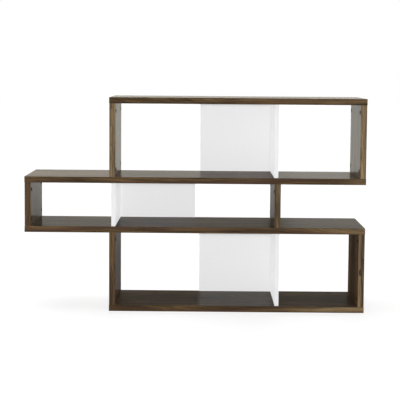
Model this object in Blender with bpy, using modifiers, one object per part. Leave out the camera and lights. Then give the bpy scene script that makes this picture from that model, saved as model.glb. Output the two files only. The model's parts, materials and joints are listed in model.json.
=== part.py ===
"""Staggered three-level shelving unit in walnut veneer, with white L-shaped screens.

Run it with: blender --background --python part.py
Metres, +Z up. The origin lies on the floor under the middle of the unit, and the front faces -Y.

Four boards run through and six uprights stand between them, held by cams and bolts.
The upper and lower boxes stand to the right of the middle one by LEVEL_OFFSET.
Each level has one screen: a divider from front to back, and a panel that closes part of the back.
"""

import math
from typing import NamedTuple

import bmesh
import bpy
from mathutils import Matrix, Vector

# Overall sizes
UNIT_WIDTH = 1.560
UNIT_DEPTH = 0.340
LEVEL_OFFSET = 0.387
LOWER_CLEAR_HEIGHT = 0.336
MIDDLE_CLEAR_HEIGHT = 0.200
UPPER_CLEAR_HEIGHT = 0.336

# Walnut boards and uprights
BOARD_THICKNESS = 0.028
UPRIGHT_THICKNESS = 0.028
END_OVERHANG = 0.001  # how far a board's end stands out past the upright under or over it
EDGE_EASING = 0.0008  # the flat that takes the sharpness off a long edge

# White screens
DIVIDER_THICKNESS = 0.018
DIVIDER_SETBACK = 0.008  # from the boards' front edge to the divider's
PANEL_THICKNESS = 0.012
UPPER_RIGHT_BAY = 0.371  # clear width between the divider and the upright beside it
MIDDLE_LEFT_BAY = 0.368
LOWER_RIGHT_BAY = 0.363
UPPER_PANEL_WIDTH = 0.341
MIDDLE_PANEL_WIDTH = 0.363
LOWER_PANEL_WIDTH = 0.350

# Cam fittings: a cam in the upright's inner face draws a bolt that is screwed into the board
CAM_DISTANCE = 0.034  # from the board's face to the cam's axis
CAM_EDGE_DISTANCE = 0.026  # from the upright's front or back edge to the cam's axis
CAM_RADIUS = 0.0075
CAM_FLOOR = 0.0005  # cam metal below the bolt's bore
CAM_RIM_WIDTH = 0.00125
CAM_RIM_THICKNESS = 0.001
CAM_SLOT_LENGTH = 0.0085
CAM_SLOT_WIDTH = 0.0018
CAM_SLOT_DEPTH = 0.004
BOLT_NECK_RADIUS = 0.0022
BOLT_SHANK_RADIUS = 0.0035
BOLT_CLEARANCE = 0.0005  # between the shank and its bore in the upright's end
BOLT_THREAD_RADIUS = 0.0025
BOLT_THREAD_LENGTH = 0.011
BOLT_TIP = 0.001
BORE_END_SPACE = 0.001  # free space past the tip of a bolt or dowel

# Beech dowels
DOWEL_RADIUS = 0.004
DOWEL_REACH = 0.010  # into a board
DOWEL_CHAMFER = 0.0008
DIVIDER_DOWEL_REACH = 0.018  # into the divider's end
DIVIDER_DOWEL_INSET = 0.068  # from the front or back edge of the unit
PANEL_DOWEL_WALL = 0.006  # what is left of the divider behind a panel's dowel
PANEL_DOWEL_REACH = 0.018  # into the panel's edge
PANEL_DOWEL_INSET = 0.050  # from the boards above and below

FIT_GAP = 0.0003  # between pieces that meet

CAM_SEGMENTS = 16
BOLT_SEGMENTS = 8
BORE_SEGMENTS = 10
CUTTER_OVERRUN = 0.005  # how far a cutter starts outside the wood

UNIT_NAME = "staggered_shelving_unit"


class Level(NamedTuple):
    """One storey: the box that its uprights close, the space in it, and its white screen."""

    name: str
    left: float
    right: float
    floor: float
    height: float
    divider_left: float
    panel_left: float
    panel_side: int  # 1 where the panel lies to the right of the divider, -1 to the left
    panel_width: float

    @property
    def ceiling(self):
        return self.floor + self.height

    @property
    def upright_centres(self):
        inset = END_OVERHANG + UPRIGHT_THICKNESS / 2
        return {"left": self.left + inset, "right": self.right - inset}

    @property
    def divider_centre(self):
        return self.divider_left + DIVIDER_THICKNESS / 2

    @property
    def divider_panel_face(self):
        return self.divider_centre + self.panel_side * DIVIDER_THICKNESS / 2


def level_with_panel_on_left(name, floor, height, right_bay, panel_width):
    """A level of the right-hand boxes, whose divider is placed from its right upright."""
    left = -UNIT_WIDTH / 2 + LEVEL_OFFSET
    right = UNIT_WIDTH / 2
    divider_left = right - END_OVERHANG - UPRIGHT_THICKNESS - right_bay - DIVIDER_THICKNESS
    panel_left = divider_left - FIT_GAP - panel_width
    return Level(name, left, right, floor, height, divider_left, panel_left, -1, panel_width)


def level_with_panel_on_right(name, floor, height, left_bay, panel_width):
    """A level of the left-hand box, whose divider is placed from its left upright."""
    left = -UNIT_WIDTH / 2
    right = UNIT_WIDTH / 2 - LEVEL_OFFSET
    divider_left = left + END_OVERHANG + UPRIGHT_THICKNESS + left_bay
    panel_left = divider_left + DIVIDER_THICKNESS + FIT_GAP
    return Level(name, left, right, floor, height, divider_left, panel_left, 1, panel_width)


def storeys():
    """The lower, middle and upper levels."""
    lower_floor = BOARD_THICKNESS
    middle_floor = lower_floor + LOWER_CLEAR_HEIGHT + BOARD_THICKNESS
    upper_floor = middle_floor + MIDDLE_CLEAR_HEIGHT + BOARD_THICKNESS
    return (
        level_with_panel_on_left(
            "lower", lower_floor, LOWER_CLEAR_HEIGHT, LOWER_RIGHT_BAY, LOWER_PANEL_WIDTH
        ),
        level_with_panel_on_right(
            "middle", middle_floor, MIDDLE_CLEAR_HEIGHT, MIDDLE_LEFT_BAY, MIDDLE_PANEL_WIDTH
        ),
        level_with_panel_on_left(
            "upper", upper_floor, UPPER_CLEAR_HEIGHT, UPPER_RIGHT_BAY, UPPER_PANEL_WIDTH
        ),
    )


# Sizes that follow from the ones above
BOLT_BORE_RADIUS = BOLT_SHANK_RADIUS + BOLT_CLEARANCE
BOLT_AXIS_DEPTH = UPRIGHT_THICKNESS / 2
CAM_DEPTH = BOLT_AXIS_DEPTH + BOLT_BORE_RADIUS + CAM_FLOOR
CAM_RIM_RADIUS = CAM_RADIUS + CAM_RIM_WIDTH
CAM_ROWS = {
    "front": -UNIT_DEPTH / 2 + CAM_EDGE_DISTANCE,
    "back": UNIT_DEPTH / 2 - CAM_EDGE_DISTANCE,
}
DIVIDER_DOWEL_ROWS = {
    "front": -UNIT_DEPTH / 2 + DIVIDER_DOWEL_INSET,
    "back": UNIT_DEPTH / 2 - DIVIDER_DOWEL_INSET,
}
PANEL_DOWEL_RADIUS = PANEL_THICKNESS / 4
PANEL_CENTRE_Y = UNIT_DEPTH / 2 - PANEL_THICKNESS / 2
DIVIDER_CENTRE_Y = DIVIDER_SETBACK / 2


def remove_all_objects():
    for obj in list(bpy.data.objects):
        bpy.data.objects.remove(obj, do_unlink=True)


def new_collection(name):
    collection = bpy.data.collections.new(name)
    bpy.context.scene.collection.children.link(collection)
    return collection


def linear(channel):
    """An sRGB channel of 0 to 255 as the linear value that a shader takes."""
    value = channel / 255
    return value / 12.92 if value <= 0.04045 else ((value + 0.055) / 1.055) ** 2.4


def material(name, colour, roughness, metallic=0.0):
    made = bpy.data.materials.new(name)
    made.use_nodes = True
    shader = made.node_tree.nodes["Principled BSDF"]
    shader.inputs["Base Color"].default_value = (*map(linear, colour), 1.0)
    shader.inputs["Roughness"].default_value = roughness
    shader.inputs["Metallic"].default_value = metallic
    made.diffuse_color = shader.inputs["Base Color"].default_value
    return made


def add_object(name, mesh, collection, location=(0, 0, 0)):
    obj = bpy.data.objects.new(name, mesh)
    obj.location = location
    collection.objects.link(obj)
    return obj


def mesh_from(bm, name):
    bmesh.ops.recalc_face_normals(bm, faces=bm.faces)
    mesh = bpy.data.meshes.new(name)
    bm.to_mesh(mesh)
    bm.free()
    return mesh


def eased_box(name, size, eased_axes):
    """A box about its centre, whose edges along the given axes (0, 1, 2 for X, Y, Z) are eased."""
    bm = bmesh.new()
    bmesh.ops.create_cube(bm, size=1.0)
    bmesh.ops.scale(bm, vec=size, verts=bm.verts)
    edges = []
    for edge in bm.edges:
        run = edge.verts[1].co - edge.verts[0].co
        if any(abs(run[axis]) > size[axis] / 2 for axis in eased_axes):
            edges.append(edge)
    bmesh.ops.bevel(bm, geom=edges, offset=EDGE_EASING, segments=1, affect="EDGES")
    return mesh_from(bm, name)


def add_rod(bm, start, end, radius, segments):
    """A closed cylinder from one point to another."""
    start, end = Vector(start), Vector(end)
    turn = Vector((0, 0, 1)).rotation_difference(end - start).to_matrix().to_4x4()
    bmesh.ops.create_cone(
        bm,
        cap_ends=True,
        segments=segments,
        radius1=radius,
        radius2=radius,
        depth=(end - start).length,
        matrix=Matrix.Translation((start + end) / 2) @ turn,
    )


def rods_mesh(name, rods):
    """One mesh of rods that don't touch, each given as (start, end, radius, segments)."""
    bm = bmesh.new()
    for start, end, radius, segments in rods:
        add_rod(bm, start, end, radius, segments)
    mesh = mesh_from(bm, name)
    mesh.shade_smooth()
    mesh.set_sharp_from_angle(angle=math.radians(40))
    return mesh


def add_boolean(obj, operand, operation):
    modifier = obj.modifiers.new(operand.name, "BOOLEAN")
    modifier.operation = operation
    modifier.solver = "EXACT"
    modifier.object = operand


def add_cutter(collection, name, rods):
    cutter = add_object(name, rods_mesh(name, rods), collection)
    cutter.hide_render = True
    cutter.display_type = "WIRE"
    return cutter


def turned_object(name, profile, segments, collection):
    """A solid turned about Z from (radius, height) points that run down its outer side."""
    mesh = bpy.data.meshes.new(name)
    points = [(radius, 0, height) for radius, height in profile]
    mesh.from_pydata(points, [(i, i + 1) for i in range(len(points) - 1)], [])
    obj = add_object(name, mesh, collection)
    screw = obj.modifiers.new("turn", "SCREW")
    screw.axis = "Z"
    screw.angle = math.tau
    screw.steps = segments
    screw.render_steps = segments
    screw.use_merge_vertices = True
    screw.merge_threshold = 0.00001
    screw.use_smooth_shade = False
    return obj


def evaluated_mesh(obj, name):
    """The object's mesh with its modifiers applied."""
    depsgraph = bpy.context.evaluated_depsgraph_get()
    mesh = bpy.data.meshes.new_from_object(obj.evaluated_get(depsgraph))
    mesh.name = name
    mesh.shade_smooth()
    mesh.set_sharp_from_angle(angle=math.radians(40))
    return mesh


def cam_profile():
    """The cam's outline from its top, which faces the bay, to its bottom in the upright."""
    face = UPRIGHT_THICKNESS / 2
    return (
        (0, face + FIT_GAP + CAM_RIM_THICKNESS),
        (CAM_RIM_RADIUS, face + FIT_GAP + CAM_RIM_THICKNESS),
        (CAM_RIM_RADIUS, face + FIT_GAP),
        (CAM_RADIUS, face + FIT_GAP),
        (CAM_RADIUS, face - CAM_DEPTH),
        (0, face - CAM_DEPTH),
    )


def bolt_profile():
    """The bolt's outline from its tip in the board down to its neck in the cam."""
    shoulder = CAM_DISTANCE - FIT_GAP
    tip = CAM_DISTANCE + BOLT_THREAD_LENGTH
    return (
        (0, tip),
        (BOLT_THREAD_RADIUS - BOLT_TIP, tip),
        (BOLT_THREAD_RADIUS, tip - BOLT_TIP),
        (BOLT_THREAD_RADIUS, shoulder),
        (BOLT_SHANK_RADIUS, shoulder),
        (BOLT_SHANK_RADIUS, CAM_RADIUS + BOLT_CLEARANCE),
        (BOLT_NECK_RADIUS, CAM_RADIUS + BOLT_CLEARANCE),
        (BOLT_NECK_RADIUS, CAM_RADIUS / 2),
        (0, CAM_RADIUS / 2),
    )


def slot_box(name, size, collection):
    """One arm of the cross that a screwdriver turns, cut from the cam's top along X."""
    bm = bmesh.new()
    bmesh.ops.create_cube(bm, size=1.0)
    bmesh.ops.scale(bm, vec=size, verts=bm.verts)
    top = UPRIGHT_THICKNESS / 2 + FIT_GAP + CAM_RIM_THICKNESS
    obj = add_object(name, mesh_from(bm, name), collection)
    obj.location = (top - CAM_SLOT_DEPTH + size[0] / 2, 0, 0)
    return obj


def cam_fitting_mesh(collection):
    """The cam along +X with its bolt hooked in it along +Z, about the point where their axes cross."""
    cam = turned_object("cam", cam_profile(), CAM_SEGMENTS, collection)
    cam.rotation_euler = (0, math.pi / 2, 0)
    bolt = turned_object("bolt", bolt_profile(), BOLT_SEGMENTS, collection)
    height = CAM_SLOT_DEPTH + CUTTER_OVERRUN
    across = slot_box("slot_across", (height, CAM_SLOT_LENGTH, CAM_SLOT_WIDTH), collection)
    along = slot_box("slot_along", (height, CAM_SLOT_WIDTH, CAM_SLOT_LENGTH), collection)
    add_boolean(bolt, cam, "UNION")
    add_boolean(bolt, across, "DIFFERENCE")
    add_boolean(bolt, along, "DIFFERENCE")
    mesh = evaluated_mesh(bolt, "cam_fitting")
    for obj in (cam, bolt, across, along):
        bpy.data.objects.remove(obj, do_unlink=True)
    return mesh


def dowel_mesh(name, radius, length):
    """A dowel about its centre, along Z, with chamfered ends."""
    bm = bmesh.new()
    add_rod(bm, (0, 0, -length / 2), (0, 0, length / 2), radius, BORE_SEGMENTS)
    rims = [edge for edge in bm.edges if abs(edge.verts[0].co.z - edge.verts[1].co.z) < length / 2]
    bmesh.ops.bevel(bm, geom=rims, offset=DOWEL_CHAMFER, segments=1, affect="EDGES")
    mesh = mesh_from(bm, name)
    mesh.shade_smooth()
    mesh.set_sharp_from_angle(angle=math.radians(40))
    return mesh


def bolt_rows(level):
    """Where the level's bolts enter the boards above and below it."""
    return [(x, y) for x in level.upright_centres.values() for y in CAM_ROWS.values()]


def dowel_rows(level):
    """Where the dowels of the level's uprights and divider enter the boards above and below it."""
    uprights = [(x, 0.0) for x in level.upright_centres.values()]
    return uprights + [(level.divider_centre, y) for y in DIVIDER_DOWEL_ROWS.values()]


def board_bores(level, surface, inwards):
    """The bores in one face of a board: inwards is 1 where the wood lies above that face."""
    rods = []
    bolt_end = BOLT_THREAD_LENGTH + BORE_END_SPACE
    dowel_end = DOWEL_REACH + BORE_END_SPACE
    for x, y in bolt_rows(level):
        outside = (x, y, surface - inwards * CUTTER_OVERRUN)
        inside = (x, y, surface + inwards * bolt_end)
        rods.append((outside, inside, BOLT_THREAD_RADIUS + FIT_GAP, BOLT_SEGMENTS))
    for x, y in dowel_rows(level):
        outside = (x, y, surface - inwards * CUTTER_OVERRUN)
        inside = (x, y, surface + inwards * dowel_end)
        rods.append((outside, inside, DOWEL_RADIUS + FIT_GAP, BORE_SEGMENTS))
    return rods


def add_board(name, level_below, level_above, wood, parts, cutters):
    """A board over one level and under the other, as long as the longer of their boxes."""
    beside = [level for level in (level_below, level_above) if level]
    left = min(level.left for level in beside)
    right = max(level.right for level in beside)
    bottom = level_below.ceiling if level_below else 0.0
    top = bottom + BOARD_THICKNESS
    size = (right - left, UNIT_DEPTH, BOARD_THICKNESS)
    board = add_object(name, eased_box(name, size, (0, 1, 2)), parts)
    board.location = ((left + right) / 2, 0, (bottom + top) / 2)
    board.data.materials.append(wood)
    rods = []
    if level_below:
        rods += board_bores(level_below, bottom, 1)
    if level_above:
        rods += board_bores(level_above, top, -1)
    add_boolean(board, add_cutter(cutters, name + "_bores", rods), "DIFFERENCE")


def add_upright(level, side, wood, parts, cutters):
    """An upright with its cam pockets, its end bores and a dowel glued into each end."""
    name = f"{level.name}_{side}_upright"
    centre = level.upright_centres[side]
    bay_side = 1 if side == "left" else -1
    face = centre + bay_side * UPRIGHT_THICKNESS / 2
    pocket_end = face - bay_side * (CAM_DEPTH + FIT_GAP)
    size = (UPRIGHT_THICKNESS, UNIT_DEPTH, level.height - 2 * FIT_GAP)
    upright = add_object(name, eased_box(name, size, (2,)), parts)
    upright.location = (centre, 0, level.floor + level.height / 2)
    upright.data.materials.append(wood)
    pockets = []
    bores = []
    dowels = []
    for surface, inwards in ((level.floor, 1), (level.ceiling, -1)):
        axis_z = surface + inwards * CAM_DISTANCE
        outside_z = surface - inwards * CUTTER_OVERRUN
        for y in CAM_ROWS.values():
            mouth = (face + bay_side * CUTTER_OVERRUN, y, axis_z)
            pockets.append((mouth, (pocket_end, y, axis_z), CAM_RADIUS + FIT_GAP, CAM_SEGMENTS))
            outside = (centre, y, outside_z)
            bores.append((outside, (centre, y, axis_z), BOLT_BORE_RADIUS, BORE_SEGMENTS))
        root = (centre, 0, surface + inwards * DOWEL_REACH)
        tip = (centre, 0, surface - inwards * DOWEL_REACH)
        dowels.append((root, tip, DOWEL_RADIUS, BORE_SEGMENTS))
    add_boolean(upright, add_cutter(cutters, name + "_pockets", pockets), "DIFFERENCE")
    add_boolean(upright, add_cutter(cutters, name + "_end_bores", bores), "DIFFERENCE")
    add_boolean(upright, add_cutter(cutters, name + "_dowels", dowels), "UNION")


def panel_dowel_heights(level):
    return {"low": level.floor + PANEL_DOWEL_INSET, "high": level.ceiling - PANEL_DOWEL_INSET}


def add_divider(level, lacquer, parts, cutters):
    """The white divider, bored for its dowels to the boards and to the panel beside it."""
    name = f"{level.name}_divider"
    size = (DIVIDER_THICKNESS, UNIT_DEPTH - DIVIDER_SETBACK, level.height - 2 * FIT_GAP)
    divider = add_object(name, eased_box(name, size, (2,)), parts)
    divider.location = (level.divider_centre, DIVIDER_CENTRE_Y, level.floor + level.height / 2)
    divider.data.materials.append(lacquer)
    rods = []
    for surface, inwards in ((level.floor, 1), (level.ceiling, -1)):
        for y in DIVIDER_DOWEL_ROWS.values():
            outside = (level.divider_centre, y, surface - inwards * CUTTER_OVERRUN)
            depth = DIVIDER_DOWEL_REACH + BORE_END_SPACE
            inside = (level.divider_centre, y, surface + inwards * depth)
            rods.append((outside, inside, DOWEL_RADIUS + FIT_GAP, BORE_SEGMENTS))
    face = level.divider_panel_face
    depth = DIVIDER_THICKNESS - PANEL_DOWEL_WALL + BORE_END_SPACE
    for z in panel_dowel_heights(level).values():
        outside = (face + level.panel_side * CUTTER_OVERRUN, PANEL_CENTRE_Y, z)
        inside = (face - level.panel_side * depth, PANEL_CENTRE_Y, z)
        rods.append((outside, inside, PANEL_DOWEL_RADIUS + FIT_GAP, BORE_SEGMENTS))
    add_boolean(divider, add_cutter(cutters, name + "_bores", rods), "DIFFERENCE")


def add_back_panel(level, lacquer, parts, cutters):
    """The white panel at the back, butted against the divider and flush with the boards' back."""
    name = f"{level.name}_back_panel"
    size = (level.panel_width, PANEL_THICKNESS, level.height - 2 * FIT_GAP)
    panel = add_object(name, eased_box(name, size, (2,)), parts)
    centre_x = level.panel_left + level.panel_width / 2
    panel.location = (centre_x, PANEL_CENTRE_Y, level.floor + level.height / 2)
    panel.data.materials.append(lacquer)
    rods = []
    face = level.divider_panel_face
    depth = PANEL_DOWEL_REACH + BORE_END_SPACE
    for z in panel_dowel_heights(level).values():
        outside = (face - level.panel_side * CUTTER_OVERRUN, PANEL_CENTRE_Y, z)
        inside = (face + level.panel_side * depth, PANEL_CENTRE_Y, z)
        rods.append((outside, inside, PANEL_DOWEL_RADIUS + FIT_GAP, BORE_SEGMENTS))
    add_boolean(panel, add_cutter(cutters, name + "_bores", rods), "DIFFERENCE")


def add_cam_fittings(level, mesh, parts):
    """A fitting in each corner of both uprights, the cam facing the bay and the bolt its board."""
    turns = {
        ("left", "top"): (0, 0, 0),
        ("left", "bottom"): (math.pi, 0, 0),
        ("right", "top"): (0, 0, math.pi),
        ("right", "bottom"): (0, math.pi, 0),
    }
    heights = {"top": level.ceiling - CAM_DISTANCE, "bottom": level.floor + CAM_DISTANCE}
    for side, x in level.upright_centres.items():
        for end, z in heights.items():
            for row, y in CAM_ROWS.items():
                name = f"{level.name}_{side}_{end}_{row}_cam_fitting"
                fitting = add_object(name, mesh, parts, (x, y, z))
                fitting.rotation_euler = turns[side, end]


def add_divider_dowels(level, mesh, parts):
    """The dowels that hold the divider between its two boards."""
    shift = (DIVIDER_DOWEL_REACH - DOWEL_REACH) / 2
    heights = {"top": level.ceiling - shift, "bottom": level.floor + shift}
    for end, z in heights.items():
        for row, y in DIVIDER_DOWEL_ROWS.items():
            name = f"{level.name}_divider_{end}_{row}_dowel"
            add_object(name, mesh, parts, (level.divider_centre, y, z))


def add_panel_dowels(level, mesh, parts):
    """The dowels that join the back panel's edge to the divider."""
    in_divider = DIVIDER_THICKNESS - PANEL_DOWEL_WALL
    shift = level.panel_side * (PANEL_DOWEL_REACH - in_divider) / 2
    for place, z in panel_dowel_heights(level).items():
        name = f"{level.name}_panel_{place}_dowel"
        x = level.divider_panel_face + shift
        dowel = add_object(name, mesh, parts, (x, PANEL_CENTRE_Y, z))
        dowel.rotation_euler = (0, math.pi / 2, 0)


def parent_to_unit(parts):
    """Everything hangs on one empty at the origin, which moves the whole unit."""
    pieces = list(parts.objects)
    unit = add_object(UNIT_NAME, None, parts)
    for piece in pieces:
        piece.parent = unit


def build():
    remove_all_objects()
    parts = new_collection(UNIT_NAME)
    cutters = new_collection(UNIT_NAME + "_cutters")
    walnut = material("walnut_veneer", (98, 80, 59), 0.45)
    lacquer = material("white_lacquer", (232, 232, 232), 0.4)
    bronze = material("bronzed_cam_zinc", (58, 50, 44), 0.45, 0.8)
    beech = material("beech_dowel", (196, 160, 116), 0.6)
    lower, middle, upper = storeys()
    add_board("bottom_board", None, lower, walnut, parts, cutters)
    add_board("lower_shelf", lower, middle, walnut, parts, cutters)
    add_board("upper_shelf", middle, upper, walnut, parts, cutters)
    add_board("top_board", upper, None, walnut, parts, cutters)
    fitting = cam_fitting_mesh(parts)
    fitting.materials.append(bronze)
    divider_dowel = dowel_mesh("divider_dowel", DOWEL_RADIUS, DOWEL_REACH + DIVIDER_DOWEL_REACH)
    divider_dowel.materials.append(beech)
    panel_dowel_length = DIVIDER_THICKNESS - PANEL_DOWEL_WALL + PANEL_DOWEL_REACH
    panel_dowel = dowel_mesh("panel_dowel", PANEL_DOWEL_RADIUS, panel_dowel_length)
    panel_dowel.materials.append(beech)
    for level in (lower, middle, upper):
        for side in level.upright_centres:
            add_upright(level, side, walnut, parts, cutters)
        add_divider(level, lacquer, parts, cutters)
        add_back_panel(level, lacquer, parts, cutters)
        add_cam_fittings(level, fitting, parts)
        add_divider_dowels(level, divider_dowel, parts)
        add_panel_dowels(level, panel_dowel, parts)
    parent_to_unit(parts)


build()
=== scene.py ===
"""Finish and studio for a staggered shelving unit: walnut veneer, white screens and bronzed cams.

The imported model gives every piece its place. The pieces made here stand for its solids, with rounded
edges, edge bands, bores and turned fittings, and every finish is made of shader nodes.
Metres, +Z up, and the unit's front faces -Y.
"""

import json
import math

import bmesh
import bpy
from bpy.props import FloatProperty, FloatVectorProperty, IntProperty, PointerProperty
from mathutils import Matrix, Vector

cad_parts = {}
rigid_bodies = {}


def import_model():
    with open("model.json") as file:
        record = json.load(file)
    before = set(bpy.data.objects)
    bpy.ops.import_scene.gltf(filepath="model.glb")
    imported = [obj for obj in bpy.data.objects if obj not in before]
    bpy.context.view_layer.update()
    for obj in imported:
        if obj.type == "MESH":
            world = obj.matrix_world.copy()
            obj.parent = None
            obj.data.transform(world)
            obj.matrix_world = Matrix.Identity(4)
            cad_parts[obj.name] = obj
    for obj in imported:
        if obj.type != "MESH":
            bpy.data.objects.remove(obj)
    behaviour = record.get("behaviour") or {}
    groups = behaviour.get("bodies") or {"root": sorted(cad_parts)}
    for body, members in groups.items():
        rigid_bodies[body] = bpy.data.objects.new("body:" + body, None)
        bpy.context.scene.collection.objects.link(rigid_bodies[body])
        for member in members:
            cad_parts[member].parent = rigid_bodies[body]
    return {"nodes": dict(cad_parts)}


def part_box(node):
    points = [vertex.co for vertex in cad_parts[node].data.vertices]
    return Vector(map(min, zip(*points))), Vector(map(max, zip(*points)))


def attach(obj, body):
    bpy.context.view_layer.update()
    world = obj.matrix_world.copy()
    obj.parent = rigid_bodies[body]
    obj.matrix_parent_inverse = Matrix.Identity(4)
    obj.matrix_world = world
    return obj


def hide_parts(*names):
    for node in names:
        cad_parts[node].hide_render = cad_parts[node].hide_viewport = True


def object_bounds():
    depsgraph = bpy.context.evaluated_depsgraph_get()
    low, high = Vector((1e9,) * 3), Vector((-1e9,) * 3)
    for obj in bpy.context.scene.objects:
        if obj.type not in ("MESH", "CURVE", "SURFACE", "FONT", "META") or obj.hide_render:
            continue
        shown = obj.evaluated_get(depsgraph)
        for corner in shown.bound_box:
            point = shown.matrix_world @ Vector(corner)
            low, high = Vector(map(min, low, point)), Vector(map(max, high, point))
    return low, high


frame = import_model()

bl_info = {
    "name": "Staggered Shelving Unit",
    "version": (1, 0, 0),
    "blender": (4, 5, 0),
    "location": "3D View > Sidebar > Shelving",
    "description": "Dresses a staggered shelving unit in walnut veneer and white lacquer and lights it",
    "category": "Object",
}

CAD_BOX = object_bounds()
BODY = "root"

BOARDS = ("bottom_board", "lower_shelf", "upper_shelf", "top_board")
LEVELS = {"lower": BOARDS[0:2], "middle": BOARDS[1:3], "upper": BOARDS[2:4]}
SIDES = ("left", "right")
ENDS = ("bottom", "top")
ROWS = ("front", "back")

CUTTER_OVERRUN = 0.004  # how far a cutter starts outside the wood
SMOOTH_ANGLE = math.radians(35)
PARALLEL = 0.99  # the share of its length from which an edge or a normal counts as along an axis
BORE_SIDES = 20  # a dowel has as many
CAM_SIDES = 32
BOLT_SIDES = 16
ARROW_SIDES = 3
RIM_BEND = 0.3  # where the rim's rounded edge bends, as a share of its rounding
TIP_TAPER = 3  # how many times thinner a bolt's tip is than the root of its thread
X, Y, Z = 0, 1, 2
WHITE = (1.0, 1.0, 1.0)


def paint(red, green, blue):
    """An sRGB colour of 0 to 255 as the linear one that a shader takes."""
    channels = []
    for value in (red / 255, green / 255, blue / 255):
        channels.append(value / 12.92 if value <= 0.04045 else ((value + 0.055) / 1.055) ** 2.4)
    return tuple(channels)


# What sets the walnut of each piece apart, with places measured from its middle:
# light is how light its faces and its bands are beside the walnut colour, where the faces' lightness is
# partly painted shade and sheen, darker on the lower boards' tops and lighter on the upper ones, and set
# for each upright's inner face to its shading and sheen;
# seeds is where its faces and its bands are cut from the log;
# film is how much lacquer film its faces have taken beside the usual;
# the paler part of its bands is where they begin to turn paler, where they have turned, and how much: on
# the boards it is painted light, paler toward their right ends where more light falls from the right, and
# on some uprights the whole band is paler;
# knot is a knot's place along and across its bands, and its radius;
# run_out is where the grain of its bands starts to run out across them, and how steeply.
ALL_ALONG = (-1.0, -0.9)  # starts and ends before the band does, so that all of it turns
PLAIN_LEAF = {"film": 1.0, "sapwood": (0, 1, 0), "knot": (0, 0, 0), "run_out": (0, 0)}
LEAVES = {
    "bottom_board": {"light": (0.62, 1.0), "seeds": (0.0, 32.3), "sapwood": (0.12, 0.38, 0.65)},
    "lower_shelf": {
        "light": (0.85, 1.08), "seeds": (30.6, 27.2), "sapwood": (0.48, 0.72, 0.55),
        "run_out": (0.40, 0.09),
    },
    "upper_shelf": {"light": (1.3, 1.0), "seeds": (10.2, 32.3), "sapwood": (0.6, 0.85, 0.6)},
    "top_board": {"light": (1.4, 0.97), "seeds": (11.1, 5.1), "film": 1.1, "sapwood": (0.1, 0.6, 0.25)},
    "lower_left_upright": {"light": (0.75, 1.03), "seeds": (14.8, 1.7), "film": 0.8},
    "lower_right_upright": {
        "light": (1.2, 1.16), "seeds": (18.5, 39.1), "film": 0.1, "sapwood": (*ALL_ALONG, 0.7),
        "knot": (-0.008, -0.004, 0.005),
    },
    "middle_left_upright": {"light": (1.0, 1.1), "seeds": (1.7, 13.6)},
    "middle_right_upright": {
        "light": (0.6, 1.15), "seeds": (25.9, 11.9), "film": 0.68, "sapwood": (*ALL_ALONG, 0.35),
    },
    "upper_left_upright": {
        "light": (1.15, 1.0), "seeds": (29.6, 5.1), "film": 0.88, "sapwood": (*ALL_ALONG, 1.0),
    },
    "upper_right_upright": {
        "light": (1.2, 1.0), "seeds": (32.3, 3.4), "film": 0.93, "sapwood": (*ALL_ALONG, 1.0),
    },
}
OUTER_LIGHT = 1.0  # how light the uprights' outer faces are beside the walnut colour

# Where the leaves are cut from the log: how far from its pith, and across the leaf from the middle seam
FACE_FROM_PITH = 0.08
BAND_FROM_PITH = 0.10
BAND_FROM_PITH_STEP = 0.01  # further for each next piece
END_FROM_PITH = 0.09
END_ALONG = 0.3  # how far along the leaf the end bands are cut
BAND_FROM_SEAM = 0.05
BAND_FROM_SEAM_STEP = 0.004

LEAF_WIDTH = 0.17  # the faces are laid from two leaves, mirrored about the middle seam
PITH_SLOPE = 0.05  # how fast the pith comes nearer the leaf along its length
RING_SCALE = 62.0  # growth rings about 5 mm wide
KNOT_STRETCH = 0.4  # a knot's grain reaches further along the leaf than across it
KNOT_RANGE = (0.4, 1.0)  # how near a knot the wood begins to darken, where 1 is in the knot itself
KNOT_DARKNESS = 0.5  # what the knot itself takes from the figure
NOT_ZERO = 1e-7  # keeps a piece without a knot from dividing by nothing

# The walnut's noises, in features a metre along the grain, across it and into the leaf
SLOW_WANDER = (1.4, 6.0, 6.0)
FINE_WANDER = (9.0, 40.0, 40.0)
HEARTS = (1.0, 70.0, 70.0)  # the heartwood's reddish streaks
PORES = (90.0, 2000.0, 2000.0)
# Those that draw the figure with the rings: features a metre, detail, roughness and share in the figure
FIGURE_NOISES = {
    "clouds": ((3.0, 14.0, 14.0), 2.0, 0.5, 0.14),
    "bands": ((1.2, 60.0, 60.0), 2.0, 0.5, 0.27),
    "streaks": ((3.0, 150.0, 150.0), 3.0, 0.6, 0.32),
    "fibres": ((12.0, 700.0, 700.0), 2.0, 0.6, 0.13),
}
RING_SHARE = 0.14
# How far the grain wanders, in metres along the leaf, across it and into it
SLOW_REACH = (0.0, 0.06, 0.05)
FINE_REACH = (0.0, 0.006, 0.005)
NOISE_RANGE = (0.3, 0.7)  # the part of a noise's values that is used
HEART_RANGE = (0.5, 0.66)
PORE_RANGE = (0.60, 0.72)
HEART_APART = (5.0, 5.0, 5.0)  # keeps the reddish streaks apart from the other noises
HEART_SHARE = 0.5  # how much a reddish streak colours the heartwood
PAINTED_LIGHT_BORDER_WAVER = 4.0  # how far the border of a band's paler part, painted light on the boards, wavers along the band, beside the grain's wander
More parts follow.
